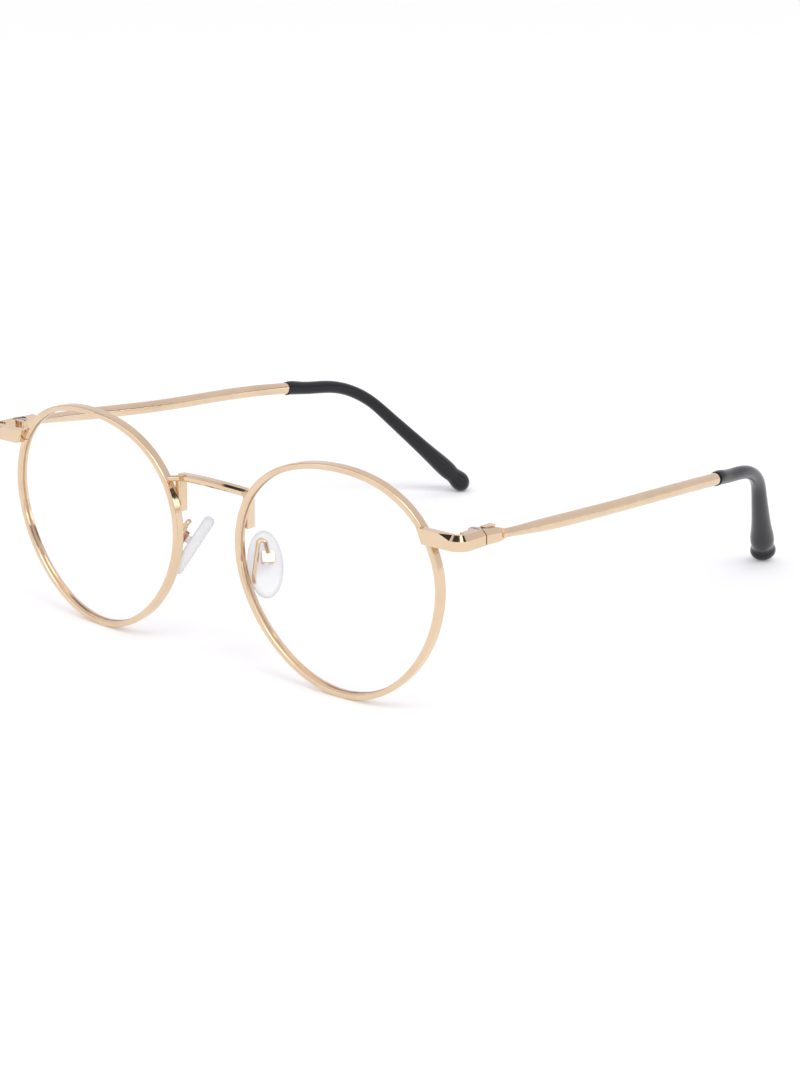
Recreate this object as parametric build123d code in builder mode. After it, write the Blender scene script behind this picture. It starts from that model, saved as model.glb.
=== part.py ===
from build123d import *
from math import cos, radians, sin
import os

# Round wire eyeglasses, open, standing on both rim bottoms and both temple tips.
# Millimetres. +Z is up, -Y is the front, +X is the wearer's left. The origin is
# on the table, under the middle of the glasses. The left half is modelled and
# mirrored; the bridge crosses the middle.

os.makedirs("parts", exist_ok=True)

# ---- lenses and rims ----
lens_y = -70.1  # the lens centres, along the depth of the glasses
lens_width = 50.0  # clear opening of a rim at its widest
lens_separation = 69.9  # from lens centre to lens centre
widening = 0.036  # how much wider than tall the panto outline is
flat_top = 0.032  # how much its top is flattened
corner_lean = 0.007  # how far its flat top leans to the nose
base_radius = 175.0  # curve of the lens, about 3 dioptres
face_form = 2.9  # each lens is swept back at the temple side, degrees
front_lean = 2.5  # the front leans forward at the top, degrees
lens_thickness = 1.6
rim_width = 1.3  # eyewire, seen from the front
rim_depth = 2.1  # eyewire, front to back
rim_edge = 0.3
bevel_height = 0.5  # tongue of the lens that sits in the rim's groove
bevel_width = 0.6
groove_clearance = 0.02
rim_split = 0.25  # saw cut through the rim at the closing blocks
slab_reach = 8.0
saw_reach = 6.0  # of the saw cut, each way from the closing block

# ---- end pieces ----
endpiece_top = 0.8 * lens_width + 0.4
endpiece_height = 3.0
plate_thickness = 1.8  # front plate, seated on the rim
endpiece_thickness = 1.5  # side wall, back to the hinge
endpiece_front = -0.15  # front face, measured from the lens centres
endpiece_start = lens_separation / 2 + 0.437 * lens_width  # the plate's nasal end, at its top
endpiece_slant = 1.4
endpiece_side = endpiece_start + 11.3  # outer face beside the corner
corner_radius = 3.0
top_facet = 1.0  # bright facet along the top outer edge
facet_run = 2.7  # length over which the facet fades out on the front
bottom_facet = 0.3

# ---- hinges ----
hinge_back = 7.5  # hinge axis and butt joint, behind the lens centres
hinge_x = endpiece_side - 2.9
butt_gap = 0.1
knuckle_radius = 1.35
knuckle_height = 0.95
knuckle_gap = 0.05
middle_knuckle = 0.95
knuckle_drop = 0.6  # the knuckles sit this far below the middle of the end piece
hinge_bore = 0.65
screw_clearance = 0.04  # between every screw and its bore
hinge_head_radius = 1.35
hinge_head_height = 0.5
leaf_length = 3.0
leaf_gap = 0.2
slot_width = 0.3  # of every screw head
slot_depth = 0.25
head_rounding = 0.4  # edge radius of a screw head, as a share of its height

# ---- temples ----
block_outset = 0.15  # the temple's outer face stands this far past the end piece
block_straight = 4.3  # the block keeps its height this far, then tapers like a spear
block_taper = 0.94
spear_length = 9.0
spear_tip = 0.2
rod_overlap = 4.0  # the rod starts this far inside the block
rod_reach = 91.76  # the rod's end; every Y here is measured from the lens centres
neck = Vector(endpiece_side - 0.5, hinge_back + spear_length, endpiece_top - 2.2)  # rod start
rod_middle = Vector(endpiece_side - 2.2, rod_reach - 41.76, endpiece_top - 4.98)
rod_end = Vector(endpiece_side - 4.58, rod_reach, endpiece_top - 7.83)
bend_corner = Vector(endpiece_side - 7.89, rod_reach + 21.45, endpiece_top - 10.33)
tip_end = Vector(endpiece_side - 22.57, rod_reach + 48.44, 0.76)
bend_radius = 25.0
neck_radius = 1.0
rod_radius = 1.4
neck_taper = 0.25  # share of the rod over which it thickens
rod_sections = 8
core_radius = 0.7
core_clearance = 0.03
socket_gap = 0.05  # between the rod's end face and the tip
core_short = 8.0  # the wire core stops this far before the tip's end

# ---- temple tips: half widths, across and through ----
tip_shape = [  # share of the tip's length, half width across, half width through
    (0.0, 1.7, 1.56),
    (0.3, 1.55, 1.46),
    (0.5, 1.7, 1.5),
    (0.7, 2.1, 1.8),
    (0.85, 2.7, 2.2),
    (1.0, 3.15, 2.5),
]
tip_twist = 30.0  # the wide way across is turned this far from level
cap_length = 2.8  # rounded end
cap_flat = 0.08  # half width left at the very end, as a share
cap_angles = (25, 45, 62, 78, 90)
tip_sections = 12

# ---- bridge ----
bridge_half = lens_separation / 2 - 0.511 * lens_width
bridge_rise = 0.8
bridge_bow = 1.5
bridge_end_z = endpiece_top - 2.25
bridge_end_y = 2.4
bridge_depth = 2.2
bridge_height = 1.6
bridge_facet = 0.45
link_radius = 0.65
link_start_step = Vector(-0.6, -0.5, -0.1)  # from the bar's end
link_stop_step = Vector(3.0, -2.2, -0.6)
leg_inner = bridge_half - 0.4  # nasal face of a bridge leg
leg_width = 1.5
leg_front = 1.3
leg_depth = 2.4
leg_bottom = bridge_end_z - 7.35
leg_round = 0.4

# ---- nose pads ----
pad_centre = Vector(bridge_half + 1.1, 6.4, 0.442 * lens_width)  # Y is measured from the lenses
pad_up = Vector(-0.42, 0.344, 0.84)
pad_across = Vector(0.588, 0.805, -0.036)
pad_length = 14.4
pad_width = 7.5
pad_thickness = 2.4
pad_edge = 0.9
pad_pivot = 2.75  # screw axis outside the middle of the pad
pivot_rise = 0.5  # and towards its top
lug_width = 1.0
lug_radius = 0.75
box_gap = 1.2
ear_thickness = 0.65
box_length = 2.2
box_floor = 0.6
lug_clearance = 0.15
pad_bore = 0.45
pad_head_radius = 0.8
pad_head_height = 0.5
arm_radius = 0.5
arm_bend = 0.9
arm_steps = [  # bends of the arm, from the middle of the pad
    Vector(1.2, -4.9, -2.7),
    Vector(0.6, -3.4, 1.7),
    Vector(-0.2, -1.7, 5.6),
    Vector(0.3, -0.3, 5.4),
]

# ---- closing blocks ----
split_z = endpiece_top - 2.15
block_inner = endpiece_start + 0.8
block_outer = block_inner + 3.8
screw_inset = 1.2  # closing screw, from the block's outer face
screw_back = 0.95  # and from its back face
block_back = 3.5
block_height = 0.95
closing_bore = 0.5
closing_head_radius = 0.8
closing_head_height = 0.35

# ---- places worked out from the sizes above ----
mean_radius = lens_width / (2 * (1 + widening))
rim_bottom = mean_radius * (1 - widening + flat_top) + rim_width
lens_centre = Vector(lens_separation / 2, lens_y, rim_bottom * cos(radians(front_lean)))
temple_side = Vector(1, 0, 0).rotate(Axis.Z, face_form).rotate(Axis.X, front_lean)
forward = Vector(0, -1, 0).rotate(Axis.Z, face_form).rotate(Axis.X, front_lean)
lens_plane = Plane(origin=lens_centre, x_dir=temple_side, z_dir=forward)
curve_centre = lens_centre - forward * base_radius
hinge_y = lens_y + hinge_back
endpiece_bottom = endpiece_top - endpiece_height
front_face = lens_y + endpiece_front
into_frame = Vector(0, lens_y, 0)


def outline(grow):
    """Points round the panto outline of the rim's opening, grown outwards."""
    points = []
    for angle in range(0, 360, 15):
        a = radians(angle)
        shape = 1 + widening * cos(2 * a) + flat_top * sin(3 * a) - corner_lean * cos(3 * a)
        radius = mean_radius * shape + grow
        points.append((radius * cos(a), radius * sin(a)))
    return points


def curved_slab(grow, thickness):
    """A plate of the rim's outline, grown, that follows the lens curve."""
    with BuildPart() as slab:
        with BuildSketch(lens_plane):
            with BuildLine():
                Spline(*outline(grow), periodic=True)
            make_face()
        extrude(amount=slab_reach, both=True)
        with Locations(curve_centre):
            Sphere(base_radius + thickness / 2, mode=Mode.INTERSECT)
            Sphere(base_radius - thickness / 2, mode=Mode.SUBTRACT)
    return slab.part


def disc(point, along, radius):
    """A round section square to a direction."""
    with BuildSketch(Plane(origin=point, z_dir=along)) as face:
        Circle(radius)
    return face.sketch


def bent_wire(points, bend, radius):
    """A round wire along straight runs joined by one size of bend."""
    with BuildLine() as route:
        FilletPolyline(*points, radius=bend)
    path = route.wires()[0]
    with BuildPart() as wire:
        sweep(disc(path @ 0, path % 0, radius), path=path)
    return wire.part


def write_pair(left, name):
    """Writes a left piece and its mirror image."""
    left.part.label = name + "_left"
    export_step(left.part, f"parts/{name}_left.step")
    with BuildPart() as right:
        mirror(left.part, about=Plane.YZ)
    right.part.label = name + "_right"
    export_step(right.part, f"parts/{name}_right.step")


# ---- lens: clear disc with a tongue round its edge ----
with BuildPart() as lens:
    add(curved_slab(-groove_clearance, lens_thickness))
    add(curved_slab(bevel_height, bevel_width))
write_pair(lens, "lens")

# ---- rim: eyewire with a groove for the lens and a saw cut at the temple side ----
rim_envelope = curved_slab(rim_width, rim_depth)
with BuildPart() as rim:
    add(rim_envelope)
    add(curved_slab(0, 2 * rim_depth), mode=Mode.SUBTRACT)
    fillet(rim.edges().filter_by(lambda edge: edge.is_closed), radius=rim_edge)
    groove_width = bevel_width + 2 * groove_clearance
    add(curved_slab(bevel_height + groove_clearance, groove_width), mode=Mode.SUBTRACT)
    with Locations((block_inner, lens_y, split_z)):
        Box(2 * saw_reach, 2 * saw_reach, rim_split, mode=Mode.SUBTRACT)
write_pair(rim, "rim")

# ---- end piece: slanted front plate and a faceted corner that runs to the hinge ----
plate_end = endpiece_side - corner_radius
inner_radius = corner_radius - endpiece_thickness
with BuildPart() as front_plate:
    with BuildSketch(Plane.XZ.offset(-front_face)):
        with BuildLine():
            Polyline(
                (endpiece_start, endpiece_top),
                (plate_end, endpiece_top),
                (plate_end, endpiece_bottom),
                (endpiece_start + endpiece_slant, endpiece_bottom),
                close=True,
            )
        make_face()
    extrude(amount=-plate_thickness)
    fade_start = Vector(plate_end - facet_run, front_face, endpiece_top)
    facet_low = Vector(plate_end, front_face, endpiece_top - top_facet)
    facet_back = Vector(plate_end, front_face + top_facet, endpiece_top)
    facet_normal = (facet_low - fade_start).cross(facet_back - fade_start)
    split(bisect_by=Plane(origin=fade_start, z_dir=facet_normal), keep=Keep.BOTTOM)

with BuildPart() as endpiece:
    with BuildSketch(Plane.XY.offset(endpiece_bottom)):
        with BuildLine():
            Polyline(
                (plate_end, front_face + plate_thickness),
                (plate_end, front_face),
            )
            RadiusArc(
                (plate_end, front_face),
                (endpiece_side, front_face + corner_radius),
                -corner_radius,
            )
            Polyline(
                (endpiece_side, front_face + corner_radius),
                (endpiece_side, hinge_y - butt_gap / 2),
                (endpiece_side - endpiece_thickness, hinge_y - butt_gap / 2),
                (endpiece_side - endpiece_thickness, front_face + corner_radius),
            )
            RadiusArc(
                (endpiece_side - endpiece_thickness, front_face + corner_radius),
                (plate_end, front_face + plate_thickness),
                inner_radius,
            )
        make_face()
    extrude(amount=endpiece_height)
    outer_side = endpiece.faces().filter_by(lambda face: face.center().X > endpiece_side - 0.01)
    top_edge = outer_side.edges().sort_by(Axis.Z)[-1]
    chamfer(top_edge, length=top_facet)
    add(front_plate.part)
    add(rim_envelope, mode=Mode.SUBTRACT)
write_pair(endpiece, "endpiece")

# ---- closing blocks: each holds one cut end of the rim, and a screw joins them ----
block_front = front_face + plate_thickness
screw_x = block_outer - screw_inset
screw_y = lens_y + block_back - screw_back
upper_bottom = split_z + rim_split / 2
lower_bottom = split_z - rim_split / 2 - block_height


def closing_block(bottom):
    """A block behind the end piece, hugging the rim, bored for the closing screw."""
    with BuildPart() as block:
        with BuildSketch(Plane.XY.offset(bottom)):
            with BuildLine():
                Polyline(
                    (block_inner, block_front),
                    (block_outer, block_front),
                    (block_outer, lens_y + block_back),
                    (block_inner, lens_y + block_back),
                    close=True,
                )
            make_face()
        extrude(amount=block_height)
        add(rim_envelope, mode=Mode.SUBTRACT)
        with Locations((screw_x, screw_y, bottom)):
            Cylinder(closing_bore, 3 * block_height, mode=Mode.SUBTRACT)
    return block


def screw(shank_radius, length, head_radius, head_height):
    """A slotted screw at the origin, its head above and its shank hanging down."""
    with BuildPart() as fastener:
        with Locations((0, 0, -length / 2)):
            Cylinder(shank_radius, length)
        with Locations((0, 0, head_height / 2)):
            Cylinder(head_radius, head_height)
        fillet(fastener.edges().group_by(Axis.Z)[-1], radius=head_rounding * head_height)
        with Locations((0, 0, head_height)):
            Box(3 * head_radius, slot_width, 2 * slot_depth, mode=Mode.SUBTRACT)
    return fastener.part


write_pair(closing_block(upper_bottom), "closing_block_upper")
write_pair(closing_block(lower_bottom), "closing_block_lower")

closing_length = 2 * block_height + rim_split
closing_shank = closing_bore - screw_clearance
with BuildPart() as closing_screw:
    with Locations((screw_x, screw_y, upper_bottom + block_height)):
        add(screw(closing_shank, closing_length, closing_head_radius, closing_head_height))
write_pair(closing_screw, "closing_screw")

# ---- hinge: two knuckles on the end piece, one on the temple, and a screw ----
leaf_face = endpiece_side - endpiece_thickness
leaf_z = endpiece_top - endpiece_height / 2
knuckle_z = leaf_z - knuckle_drop
knuckle_step = (middle_knuckle + knuckle_height) / 2 + knuckle_gap
leaf_near = knuckle_radius + leaf_gap
leaf_width = leaf_face - hinge_x
leaf_mid_x = hinge_x + leaf_width / 2
butt_half = butt_gap / 2

with BuildPart() as hinge_front:
    for side in (-1, 1):
        with Locations((hinge_x, hinge_y, knuckle_z + side * knuckle_step)):
            Cylinder(knuckle_radius, knuckle_height)
        with Locations((leaf_mid_x, hinge_y - leaf_near / 2, knuckle_z + side * knuckle_step)):
            Box(leaf_width, leaf_near, knuckle_height)
    with Locations((leaf_mid_x, hinge_y - leaf_near - leaf_length / 2, leaf_z)):
        Box(leaf_width, leaf_length, endpiece_height)
    with Locations((hinge_x, hinge_y, knuckle_z)):
        Cylinder(hinge_bore, 2 * endpiece_height, mode=Mode.SUBTRACT)
write_pair(hinge_front, "hinge_front")

with BuildPart() as hinge_rear:
    with Locations((hinge_x, hinge_y, knuckle_z)):
        Cylinder(knuckle_radius, middle_knuckle)
    with Locations((leaf_mid_x, hinge_y + (leaf_near + butt_half) / 2, knuckle_z)):
        Box(leaf_width, leaf_near - butt_half, middle_knuckle)
    with Locations((leaf_mid_x, hinge_y + leaf_near + leaf_length / 2, leaf_z)):
        Box(leaf_width, leaf_length, endpiece_height)
    with Locations((hinge_x, hinge_y, knuckle_z)):
        Cylinder(hinge_bore, 2 * endpiece_height, mode=Mode.SUBTRACT)
write_pair(hinge_rear, "hinge_rear")

knuckle_top = knuckle_z + knuckle_step + knuckle_height / 2
knuckle_stack = 2 * knuckle_step + knuckle_height
hinge_shank = hinge_bore - screw_clearance
with BuildPart() as hinge_screw:
    with Locations((hinge_x, hinge_y, knuckle_top)):
        add(screw(hinge_shank, knuckle_stack, hinge_head_radius, hinge_head_height))
write_pair(hinge_screw, "hinge_screw")

# ---- temple: spear block, tapered rod and the wire core inside the tip ----
rod_from = into_frame + neck
rod_to = into_frame + rod_end
tip_from = into_frame + bend_corner
tip_to = into_frame + tip_end
rod_line = (tip_from - rod_to).normalized()
block_side = endpiece_side + block_outset
block_start = Vector((leaf_face + block_side) / 2, hinge_y + butt_half, leaf_z)
half_thick = (block_side - leaf_face) / 2
half_tall = endpiece_height / 2


def block_section(distance, scale):
    """The block's faceted section, scaled, this far behind the butt joint."""
    middle = block_start + (rod_from - block_start) * (distance / spear_length)
    with BuildSketch(Plane(origin=middle, x_dir=(1, 0, 0), z_dir=(0, -1, 0))) as section:
        with BuildLine():
            Polyline(
                (-half_thick * scale, half_tall * scale),
                ((half_thick - top_facet) * scale, half_tall * scale),
                (half_thick * scale, (half_tall - top_facet) * scale),
                (half_thick * scale, (bottom_facet - half_tall) * scale),
                ((half_thick - bottom_facet) * scale, -half_tall * scale),
                (-half_thick * scale, -half_tall * scale),
                close=True,
            )
        make_face()
    return section.sketch


block_line = (rod_from - block_start).normalized()
rod_start = rod_from - block_line * rod_overlap
with BuildLine() as rod_path:
    Spline(rod_start, rod_from, into_frame + rod_middle, rod_to, tangents=[block_line, rod_line])
rod_wire = rod_path.wires()[0]
rod_faces = []
for step in range(rod_sections + 1):
    share = step / rod_sections
    thickening = min(1.0, share / neck_taper)
    radius = neck_radius + (rod_radius - neck_radius) * thickening
    rod_faces.append(disc(rod_wire @ share, rod_wire % share, radius))

core_end = tip_to - (tip_to - tip_from).normalized() * core_short
core_route = [rod_to - rod_line, tip_from, core_end]

with BuildPart() as temple:
    loft([block_section(0, 1), block_section(block_straight, block_taper)], ruled=True)
    loft([block_section(block_straight, block_taper), block_section(spear_length, spear_tip)], ruled=True)
    loft(rod_faces)
    add(bent_wire(core_route, bend_radius, core_radius))
write_pair(temple, "temple")


# ---- temple tip: oval sleeve that bends down behind the ear and ends in a paddle ----
def tip_scale(share, length):
    """Half widths of the tip at a share of its length."""
    across, through = tip_shape[-1][1:]
    for near, far in zip(tip_shape, tip_shape[1:]):
        if near[0] <= share <= far[0]:
            blend = (share - near[0]) / (far[0] - near[0])
            across = near[1] + (far[1] - near[1]) * blend
            through = near[2] + (far[2] - near[2]) * blend
    inside_cap = max(0.0, 1 - (1 - share) * length / cap_length)
    rounding = max(cap_flat, (1 - inside_cap**2) ** 0.5)
    return across * rounding, through * rounding


with BuildLine() as tip_path:
    FilletPolyline(rod_to + rod_line * socket_gap, tip_from, tip_to, radius=bend_radius)
tip_wire = tip_path.wires()[0]
tip_length = tip_wire.length
cap_share = cap_length / tip_length
body_shares = [(1 - cap_share) * step / tip_sections for step in range(tip_sections + 1)]
cap_shares = [1 - cap_share * (1 - sin(radians(angle))) for angle in cap_angles]
tip_faces = []
for share in body_shares + cap_shares:
    along = tip_wire % share
    upward = Vector(1, 0, 0).cross(along).normalized()
    wide_way = Vector(1, 0, 0) * cos(radians(tip_twist)) + upward * sin(radians(tip_twist))
    with BuildSketch(Plane(origin=tip_wire @ share, x_dir=wide_way, z_dir=along)) as tip_section:
        Ellipse(*tip_scale(share, tip_length))
    tip_faces.append(tip_section.sketch)

with BuildPart() as temple_tip:
    loft(tip_faces)
    add(bent_wire(core_route, bend_radius, core_radius + core_clearance), mode=Mode.SUBTRACT)
write_pair(temple_tip, "temple_tip")

# ---- bridge: faceted bar, arched up and bowed forward, with a link to each rim ----
bridge_end = Vector(bridge_half, lens_y + bridge_end_y, bridge_end_z)
bridge_crown = Vector(0, bridge_end.Y - bridge_bow, bridge_end_z + bridge_rise)
link_start = bridge_end + link_start_step
link_stop = bridge_end + link_stop_step
with BuildPart() as bridge:
    with BuildLine() as bridge_arc:
        ThreePointArc((-bridge_end.X, bridge_end.Y, bridge_end.Z), bridge_crown, bridge_end)
    arc = bridge_arc.edges()[0]
    with BuildSketch(Plane(origin=arc @ 0, x_dir=(0, 1, 0), z_dir=arc % 0)) as bar_section:
        Rectangle(bridge_depth, bridge_height)
        chamfer(bar_section.vertices(), length=bridge_facet)
    sweep(path=arc)
    for side in (-1, 1):
        start = Vector(side * link_start.X, link_start.Y, link_start.Z)
        reach = Vector(side * link_stop.X, link_stop.Y, link_stop.Z) - start
        extrude(disc(start, reach, link_radius), amount=reach.length)
    add(rim_envelope, mode=Mode.SUBTRACT)
    add(mirror(rim_envelope, about=Plane.YZ), mode=Mode.SUBTRACT)
bridge.part.label = "bridge"
export_step(bridge.part, "parts/bridge.step")

# ---- bridge leg: flat post under each end of the bar, brazed behind the rim ----
leg_height = bridge_end_z - leg_bottom
with BuildPart() as bridge_leg:
    with Locations((leg_inner, lens_y + leg_front, leg_bottom)):
        Box(leg_width, leg_depth, leg_height, align=Align.MIN)
    fillet(bridge_leg.edges().filter_by(Axis.Z), radius=leg_round)
    add(bridge.part, mode=Mode.SUBTRACT)
    add(rim_envelope, mode=Mode.SUBTRACT)
write_pair(bridge_leg, "bridge_leg")

# ---- nose pad: clear oval pad with a lug that the pad screw passes through ----
pad_out = pad_across.cross(pad_up).normalized()
pad_middle = into_frame + pad_centre
pad_pivot_point = pad_middle + pad_out * pad_pivot + pad_up.normalized() * pivot_rise
pad_plane = Plane(origin=pad_middle, x_dir=pad_across, z_dir=pad_out)
across_plane = Plane(origin=pad_pivot_point, x_dir=pad_plane.y_dir, z_dir=pad_plane.x_dir)

with BuildPart() as nose_pad:
    with BuildSketch(pad_plane.offset(-pad_thickness / 2)):
        Ellipse(pad_width / 2, pad_length / 2)
    extrude(amount=pad_thickness)
    fillet(nose_pad.edges().filter_by(GeomType.ELLIPSE), radius=pad_edge)
    with BuildSketch(across_plane):
        Circle(lug_radius)
        with Locations((0, -pad_pivot / 2)):
            Rectangle(2 * lug_radius, pad_pivot)
    extrude(amount=lug_width / 2, both=True)
    with BuildSketch(across_plane):
        Circle(pad_bore)
    extrude(amount=lug_width, both=True, mode=Mode.SUBTRACT)
write_pair(nose_pad, "nose_pad")

# ---- pad box: two ears and a floor that hold the pad's lug ----
ear_reach = lug_radius + lug_clearance + box_floor
with BuildPart() as pad_box:
    with BuildSketch(across_plane):
        with Locations((0, (ear_reach - lug_radius) / 2)):
            Rectangle(box_length, ear_reach + lug_radius)
    extrude(amount=box_gap / 2 + ear_thickness, both=True)
    with BuildSketch(across_plane):
        with Locations((0, -lug_radius)):
            Rectangle(2 * box_length, 2 * (2 * lug_radius + lug_clearance))
    extrude(amount=box_gap / 2, both=True, mode=Mode.SUBTRACT)
    with BuildSketch(across_plane):
        Circle(pad_bore)
    extrude(amount=box_gap + ear_thickness, both=True, mode=Mode.SUBTRACT)
write_pair(pad_box, "pad_box")

# ---- pad screw ----
pad_screw_length = box_gap + 2 * ear_thickness
pad_shank = pad_bore - screw_clearance
head_seat = pad_pivot_point + across_plane.z_dir * (box_gap / 2 + ear_thickness)
with BuildPart() as pad_screw:
    with Locations(Plane(origin=head_seat, z_dir=across_plane.z_dir)):
        add(screw(pad_shank, pad_screw_length, pad_head_radius, pad_head_height))
write_pair(pad_screw, "pad_screw")

# ---- pad arm: thin wire that rises behind the rim and loops over to the box ----
arm_finish = pad_pivot_point + pad_out * ear_reach + pad_plane.y_dir * (box_length / 2 - arm_radius)
arm_route = [pad_middle + step for step in arm_steps]
with BuildPart() as pad_arm:
    add(bent_wire([*arm_route, arm_finish], arm_bend, arm_radius))
    add(rim_envelope, mode=Mode.SUBTRACT)
    add(pad_box.part, mode=Mode.SUBTRACT)
write_pair(pad_arm, "pad_arm")
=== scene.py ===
from math import cos, pi, radians, sin

import bpy
from mathutils import Matrix, Vector

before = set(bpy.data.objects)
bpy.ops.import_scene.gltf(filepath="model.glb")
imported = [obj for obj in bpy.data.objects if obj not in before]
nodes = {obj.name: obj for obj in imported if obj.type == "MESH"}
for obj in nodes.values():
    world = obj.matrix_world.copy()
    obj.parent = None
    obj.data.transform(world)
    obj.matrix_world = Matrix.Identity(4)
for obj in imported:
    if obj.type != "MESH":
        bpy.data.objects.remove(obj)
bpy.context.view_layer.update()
scene = bpy.context.scene

# ---- camera: the photo's viewpoint, metres in the row frame ----
CAMERA_AT = Vector((0.37656, -0.44609, 0.18485))
CAMERA_YAW = 40.74
CAMERA_PITCH = 16.694
CAMERA_ROLL = 0.223
SENSOR_MM = 36
LENS_MM = 88.37654
CLIP_NEAR = 0.01
CLIP_FAR = 20


def aim(yaw, pitch, roll):
    """Rotation of a camera that looks left of +Y by yaw and down by pitch."""
    yaw, pitch, roll = radians(yaw), radians(pitch), radians(roll)
    ahead = Vector((-sin(yaw) * cos(pitch), cos(yaw) * cos(pitch), -sin(pitch)))
    right = Vector((cos(yaw), sin(yaw), 0))
    up = right.cross(ahead)
    right, up = right * cos(roll) + up * sin(roll), up * cos(roll) - right * sin(roll)
    return Matrix((right, up, -ahead)).transposed()


lens_data = bpy.data.cameras.new("camera")
lens_data.lens = LENS_MM
lens_data.sensor_width = SENSOR_MM
lens_data.sensor_fit = "AUTO"
lens_data.clip_start = CLIP_NEAR
lens_data.clip_end = CLIP_FAR
camera = bpy.data.objects.new("camera", lens_data)
camera.matrix_world = Matrix.Translation(CAMERA_AT) @ aim(CAMERA_YAW, CAMERA_PITCH, CAMERA_ROLL).to_4x4()
scene.collection.objects.link(camera)
scene.camera = camera
scene.view_settings.view_transform = "Standard"


# ---- materials ----
class Maker:
    """A node material with its Principled shader, and short calls for its nodes."""

    def __init__(self, name):
        self.material = bpy.data.materials.new(name)
        self.material.use_nodes = True
        self.tree = self.material.node_tree
        self.shader = self.tree.nodes["Principled BSDF"]
        self.place = self.node("ShaderNodeTexCoord").outputs["Object"]

    def node(self, kind, **inputs):
        made = self.tree.nodes.new(kind)
        for name, value in inputs.items():
            made.inputs[name].default_value = value
        return made

    def link(self, source, target):
        self.tree.links.new(source, target)

    def noise(self, scale, detail=3.0, stretch=None):
        texture = self.node("ShaderNodeTexNoise", Scale=scale, Detail=detail)
        source = self.place
        if stretch:
            mapping = self.node("ShaderNodeMapping")
            mapping.inputs["Scale"].default_value = stretch
            self.link(source, mapping.inputs["Vector"])
            source = mapping.outputs["Vector"]
        self.link(source, texture.inputs["Vector"])
        return texture.outputs["Fac"]

    def spread(self, source, low, high, start=0.3, stop=0.7):
        """Maps a 0 to 1 value onto low to high."""
        remap = self.node("ShaderNodeMapRange")
        for name, value in (("From Min", start), ("From Max", stop), ("To Min", low), ("To Max", high)):
            remap.inputs[name].default_value = value
        self.link(source, remap.inputs["Value"])
        return remap.outputs["Result"]

    def tint(self, source, first, second):
        """Blends two colours by a 0 to 1 value."""
        blend = self.node("ShaderNodeMix")
        blend.data_type = "RGBA"
        blend.inputs[6].default_value = (*first, 1)
        blend.inputs[7].default_value = (*second, 1)
        self.link(source, blend.inputs[0])
        return blend.outputs[2]

    def bump(self, source, depth, strength=0.3):
        bumper = self.node("ShaderNodeBump", Strength=strength, Distance=depth)
        self.link(source, bumper.inputs["Height"])
        self.link(bumper.outputs["Normal"], self.shader.inputs["Normal"])

    def set(self, **values):
        for name, value in values.items():
            self.shader.inputs[name.replace("_", " ")].default_value = value


def metal(name, bright, deep, rough):
    """Polished plated metal: faint cloudiness, hairline polish marks and uneven gloss."""
    make = Maker(name)
    make.set(Metallic=1.0)
    cloud = make.noise(160, 4)
    make.link(make.tint(make.spread(cloud, 0, 1), bright, deep), make.shader.inputs["Base Color"])
    hairs = make.noise(900, 2, (1.0, 0.12, 1.0))
    make.link(make.spread(hairs, rough * 0.6, rough * 1.5), make.shader.inputs["Roughness"])
    make.bump(make.noise(1500, 2), 0.00001, 0.12)
    return make.material


def clear_lens():
    """Thin clear plastic with the faintest tint."""
    make = Maker("lens_clear")
    make.set(Roughness=0.02, IOR=1.5, Alpha=0.045)
    haze = make.noise(40, 2)
    make.link(make.tint(haze, (0.97, 0.99, 0.985), (0.99, 0.985, 1.0)), make.shader.inputs["Base Color"])
    return make.material


def clear_pad():
    """Soft clear plastic, with painted shade: greyer and denser where it is seen at a slant, standing in
    for the dark edges that refraction gives it.
    """
    make = Maker("pad_clear")
    make.set(IOR=1.42, Coat_Weight=0.4, Coat_Roughness=0.05)
    slant_shade = make.node("ShaderNodeLayerWeight", Blend=0.35).outputs["Facing"]
    # Painted shade: the colour turns grey and the pad grows more opaque at a slant, standing in for its
    # dark refracted edges.
    make.link(make.tint(slant_shade, (0.80, 0.81, 0.83), (0.52, 0.53, 0.56)), make.shader.inputs["Base Color"])
    make.link(make.spread(slant_shade, 0.38, 0.85, 0.0, 1.0), make.shader.inputs["Alpha"])
    make.link(make.spread(make.noise(300, 3), 0.10, 0.20), make.shader.inputs["Roughness"])
    make.bump(make.noise(120, 2), 0.00004, 0.15)
    return make.material


def black_tip():
    """Glossy black plastic with a slight grain along it."""
    make = Maker("tip_black")
    make.set(IOR=1.45, Specular_IOR_Level=0.3, Coat_Weight=0.12, Coat_Roughness=0.05)
    grain = make.spread(make.noise(70, 4, (1.0, 0.3, 1.0)), 0, 1)
    blacks = make.tint(grain, (0.006, 0.0065, 0.0075), (0.012, 0.0125, 0.014))
    make.link(blacks, make.shader.inputs["Base Color"])
    make.link(make.spread(make.noise(500, 3), 0.14, 0.24), make.shader.inputs["Roughness"])
    make.bump(make.noise(220, 2), 0.00003, 0.12)
    return make.material


gold = metal("plated_gold", (0.80, 0.62, 0.43), (0.74, 0.565, 0.38), 0.07)
screw_steel = metal("plated_screw", (0.72, 0.60, 0.52), (0.62, 0.51, 0.45), 0.14)

# Every node not named here is plated gold.
LOOKS = {
    "lens": clear_lens(),
    "nose_pad": clear_pad(),
    "temple_tip": black_tip(),
    "hinge_screw": screw_steel,
    "closing_screw": screw_steel,
    "pad_screw": screw_steel,
    "pad_box": metal("brazed_gold", (0.78, 0.50, 0.36), (0.70, 0.41, 0.28), 0.16),
}
for name, piece in nodes.items():
    base = name.removesuffix("_left").removesuffix("_right")
    piece.data.materials.clear()
    piece.data.materials.append(LOOKS.get(base, gold))

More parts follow.
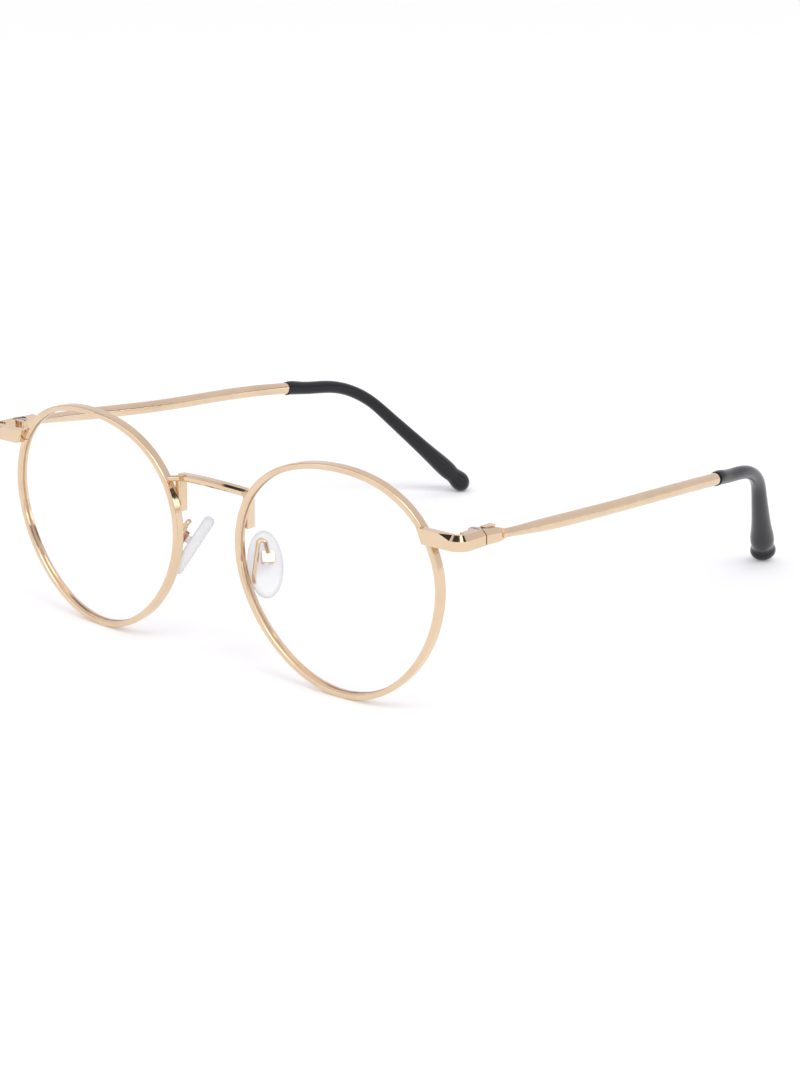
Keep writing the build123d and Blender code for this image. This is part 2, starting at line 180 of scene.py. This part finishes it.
# ---- floor ----
FLOOR_HALF = 4.0
floor_mesh = bpy.data.meshes.new("floor")
corners = [(x * FLOOR_HALF, y * FLOOR_HALF, 0) for x, y in ((-1, -1), (1, -1), (1, 1), (-1, 1))]
floor_mesh.from_pydata(corners, [], [(0, 1, 2, 3)])
floor = bpy.data.objects.new("floor", floor_mesh)
scene.collection.objects.link(floor)
make = Maker("pale_floor")
make.set(Base_Color=(0.90, 0.90, 0.90, 1), Roughness=0.9, Specular_IOR_Level=0.1)
make.set(Emission_Color=(1.0, 1.0, 1.0, 1), Emission_Strength=0.14)
floor_mesh.materials.append(make.material)

# ---- studio light ----
# The bands of the sky by their angle, from level in front (0), over the top, to level behind (1):
# a bright front, a brighter strip, a dark gap and a dimmer, cooler back.
BANDS = [
    (0.00, (0.90, 0.91, 0.93)),
    (0.26, (1.05, 1.06, 1.08)),
    (0.29, (1.9, 1.9, 1.9)),
    (0.385, (1.9, 1.9, 1.9)),
    (0.40, (0.05, 0.045, 0.04)),
    (0.475, (0.05, 0.045, 0.04)),
    (0.49, (0.80, 0.77, 0.84)),
    (1.00, (0.88, 0.86, 0.92)),
]
world = bpy.data.worlds.new("studio")
scene.world = world
world.use_nodes = True
sky = world.node_tree
background = sky.nodes["Background"]
where = sky.nodes.new("ShaderNodeTexCoord")
to_front = sky.nodes.new("ShaderNodeVectorMath")
to_front.operation = "DOT_PRODUCT"
to_front.inputs[1].default_value = (sin(radians(CAMERA_YAW)), -cos(radians(CAMERA_YAW)), 0)
split = sky.nodes.new("ShaderNodeSeparateXYZ")
angle = sky.nodes.new("ShaderNodeMath")
angle.operation = "ARCTAN2"
sky.links.new(where.outputs["Generated"], to_front.inputs[0])
sky.links.new(where.outputs["Generated"], split.inputs[0])
sky.links.new(split.outputs["Z"], angle.inputs[0])
sky.links.new(to_front.outputs["Value"], angle.inputs[1])
share = sky.nodes.new("ShaderNodeMapRange")
share.inputs["From Min"].default_value = 0
share.inputs["From Max"].default_value = pi
sky.links.new(angle.outputs[0], share.inputs["Value"])
ramp = sky.nodes.new("ShaderNodeValToRGB")
sky.links.new(share.outputs["Result"], ramp.inputs["Fac"])
colours = ramp.color_ramp
while len(colours.elements) < len(BANDS):
    colours.elements.new(0.5)
for stop, (place, colour) in zip(colours.elements, BANDS):
    stop.position = place
    stop.color = (*colour, 1)
sky.links.new(ramp.outputs["Color"], background.inputs["Color"])
background.inputs["Strength"].default_value = 1.0

LIGHT_AIM = Vector((0, 0, 0.02))


def soft_light(name, at, size, power):
    """An area light that faces the middle of the glasses."""
    data = bpy.data.lights.new(name, "AREA")
    data.shape = "SQUARE"
    data.size = size
    data.energy = power
    light = bpy.data.objects.new(name, data)
    light.location = at
    light.rotation_euler = (LIGHT_AIM - Vector(at)).to_track_quat("-Z", "Y").to_euler()
    scene.collection.objects.link(light)


soft_light("key", at=(0.9, -0.5, 1.6), size=0.9, power=6)
